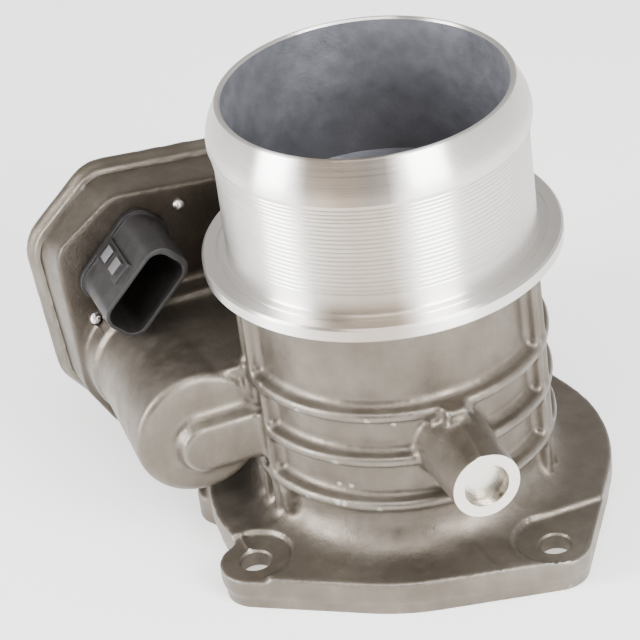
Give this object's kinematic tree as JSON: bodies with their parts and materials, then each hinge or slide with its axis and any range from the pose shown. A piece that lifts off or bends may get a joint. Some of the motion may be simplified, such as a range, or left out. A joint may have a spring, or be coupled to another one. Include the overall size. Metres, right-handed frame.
{
  "type": "motorised throttle body",
  "caption": "Cast throttle body with a turned hose spigot, butterfly plate, side gear case, barrel motor housing and a slanted wiring connector.",
  "frame": {"origin": "centre of the air bore at the flange's sealing face", "axes": "+Z along the air bore, out of the hose spigot; +Y along the throttle shaft, towards the gear case; +X away from the motor barrel"},
  "size_m": [0.1107, 0.1174, 0.103],
  "materials": {
    "cast": "as-cast, with the spigot, lip and collar turned bright",
    "turned": "turned bright",
    "steel": "ground",
    "dark_steel": "sintered magnet, dark",
    "brass": "plain",
    "copper": "enamelled winding",
    "black_plastic": "fine grain",
    "nylon": "natural",
    "board": "coated",
    "rubber": "matte"
  },
  "bodies": {
    "body": {"housing": "cast", "flange_seal": "rubber", "end_plug": "turned", "front_bush": "brass", "front_seal": "rubber", "rear_seal": "rubber", "bearing_outer_ring": "steel", "bearing_balls": "steel", "return_spring": "steel", "idler_pin": "steel", "idler_washer": "steel", "motor_can": "steel", "motor_magnets": "dark_steel", "motor_end_plate": "steel", "motor_screws": "steel", "gear_cover": "turned", "cover_gasket": "rubber", "sensor_carrier": "black_plastic", "sensor_board": "board", "sensor_chip": "black_plastic", "connector_shell": "black_plastic", "connector_pins": "brass", "connector_seal": "rubber", "connector_rivets": "turned"},
    "throttle": {"bearing_inner_ring": "steel", "throttle_shaft": "steel", "throttle_plate": "brass", "plate_screws": "steel", "sector_gear": "nylon", "sensor_magnet": "dark_steel"},
    "idler": {"idler_gear": "nylon"},
    "rotor": {"motor_shaft": "steel", "armature": "copper", "commutator": "copper", "motor_pinion": "brass"}
  },
  "joints": [
    {"name": "throttle_turn", "type": "hinge", "parent": "body", "child": "throttle", "pos_m": [0, 0, 0.033], "axis": [0, 1, 0], "range_deg": [0, 85], "stiffness_Nm_per_rad": 0.06, "springref_deg": -34.38, "deforming": ["return_spring"]},
    {"name": "idler_turn", "type": "hinge", "parent": "body", "child": "idler", "pos_m": [-0.02387, 0, 0.03548], "axis": [0, 1, 0], "range_deg": [-340, 0]},
    {"name": "motor_turn", "type": "hinge", "parent": "body", "child": "rotor", "pos_m": [-0.046, 0, 0.032], "axis": [0, 1, 0], "range_deg": [0, 1020]}
  ],
  "couplings": [
    {"joint": "idler_turn", "follows": "throttle_turn", "ratio": -4},
    {"joint": "motor_turn", "follows": "throttle_turn", "ratio": 12}
  ]
}
